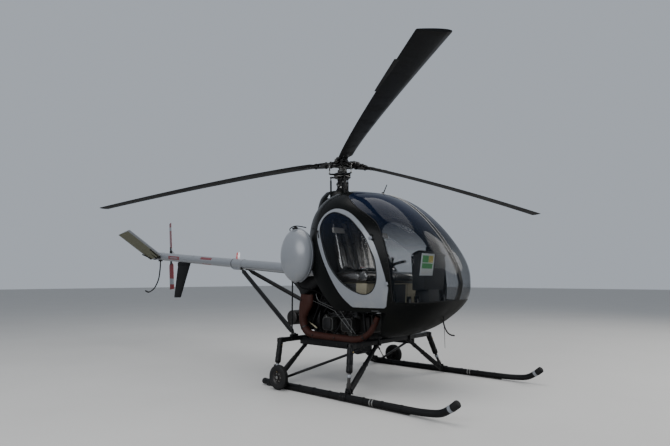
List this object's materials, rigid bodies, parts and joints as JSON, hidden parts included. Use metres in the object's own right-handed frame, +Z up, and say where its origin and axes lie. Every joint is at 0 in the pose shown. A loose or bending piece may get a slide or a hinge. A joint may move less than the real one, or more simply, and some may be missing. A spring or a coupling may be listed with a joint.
{
  "type": "light two-seat helicopter on skids",
  "caption": "Light piston helicopter with an egg-shaped glazed cabin, open engine bay, slim braced tail boom, free-turning rotors, swinging doors and skid gear with ground wheels.",
  "frame": {"origin": "on the ground, under the middle of the whole aircraft's box, blades as parked", "axes": "+X towards the nose, +Y towards the port side, +Z up"},
  "size_m": [7.9686, 6.8546, 2.7],
  "materials": {
    "black_paint": "gloss",
    "white_paint": "satin",
    "white_alloy": "painted gloss",
    "tank_shell": "satin",
    "red_paint": "gloss",
    "shroud_paint": "satin",
    "gear_black": "satin",
    "blade_black": "matte",
    "bare_steel": "satin",
    "engine_alloy": "cast",
    "tyre_rubber": "matte",
    "dark_leather": "soft",
    "beige_panel": "satin",
    "black_panel": "matte",
    "smoked_glass": "clear gloss"
  },
  "bodies": {
    "airframe": {"belly_pan": "black_paint", "canopy_frame": "black_paint", "seat_bulkhead": "black_panel", "windscreen_starboard": "smoked_glass", "windscreen_port": "smoked_glass", "mast_fairing": "black_paint", "pitot_tube": "bare_steel", "seat_base": "beige_panel", "seat_cushion": "dark_leather", "seat_back": "dark_leather", "instrument_console": "black_panel", "control_stick_starboard": "gear_black", "control_stick_port": "gear_black", "engine_block": "engine_alloy", "exhaust_muffler": "bare_steel", "transmission": "engine_alloy", "mast": "gear_black", "centre_frame": "gear_black", "engine_shroud_starboard": "shroud_paint", "engine_shroud_port": "shroud_paint", "fuel_tank_starboard": "tank_shell", "tank_strut_starboard": "gear_black", "fuel_tank_port": "tank_shell", "tank_strut_port": "gear_black", "swashplate": "bare_steel", "tail_boom": "white_alloy", "tail_gearbox": "engine_alloy", "stabilizer": "white_alloy", "ventral_fin": "blade_black", "tail_skid": "gear_black", "beacon": "red_paint", "skid_starboard": "gear_black", "gear_strut_front_starboard": "gear_black", "damper_front_starboard": "gear_black", "gear_strut_aft_starboard": "gear_black", "damper_aft_starboard": "gear_black", "drag_brace_starboard": "gear_black", "skid_port": "gear_black", "gear_strut_front_port": "gear_black", "damper_front_port": "gear_black", "gear_strut_aft_port": "gear_black", "damper_aft_port": "gear_black", "drag_brace_port": "gear_black", "boom_strut_starboard": "gear_black", "boom_strut_port": "gear_black"},
    "main_rotor": {"rotor_hub": "gear_black", "rotor_blade_1": "blade_black", "rotor_blade_2": "blade_black", "rotor_blade_3": "blade_black"},
    "tail_rotor": {"tail_rotor": "red_paint"},
    "door_starboard": {"door_starboard": "white_paint", "door_glass_starboard": "smoked_glass"},
    "door_port": {"door_port": "white_paint", "door_glass_port": "smoked_glass"},
    "wheel_starboard": {"ground_wheel_starboard": "tyre_rubber"},
    "wheel_port": {"ground_wheel_port": "tyre_rubber"}
  },
  "joints": [
    {"name": "main_rotor_spin", "type": "hinge", "parent": "airframe", "child": "main_rotor", "pos_m": [0.97799, -0.52966, 2.655], "axis": [0, 0, 1], "continuous": true},
    {"name": "tail_rotor_spin", "type": "hinge", "parent": "airframe", "child": "tail_rotor", "pos_m": [-3.66501, -0.20166, 1.62], "axis": [0, 1, 0], "continuous": true},
    {"name": "door_starboard_swing", "type": "hinge", "parent": "airframe", "child": "door_starboard", "pos_m": [2.10799, -1.12966, 1.066], "axis": [-0.3507, -0.0468, 0.9353], "range_deg": [0, 75]},
    {"name": "door_port_swing", "type": "hinge", "parent": "airframe", "child": "door_port", "pos_m": [2.10799, 0.07034, 1.066], "axis": [0.3507, -0.0468, -0.9353], "range_deg": [0, 75]},
    {"name": "wheel_starboard_spin", "type": "hinge", "parent": "airframe", "child": "wheel_starboard", "pos_m": [1.00099, -1.61166, 0.13], "axis": [0, 1, 0], "continuous": true},
    {"name": "wheel_port_spin", "type": "hinge", "parent": "airframe", "child": "wheel_port", "pos_m": [1.00099, 0.55234, 0.13], "axis": [0, 1, 0], "continuous": true}
  ]
}
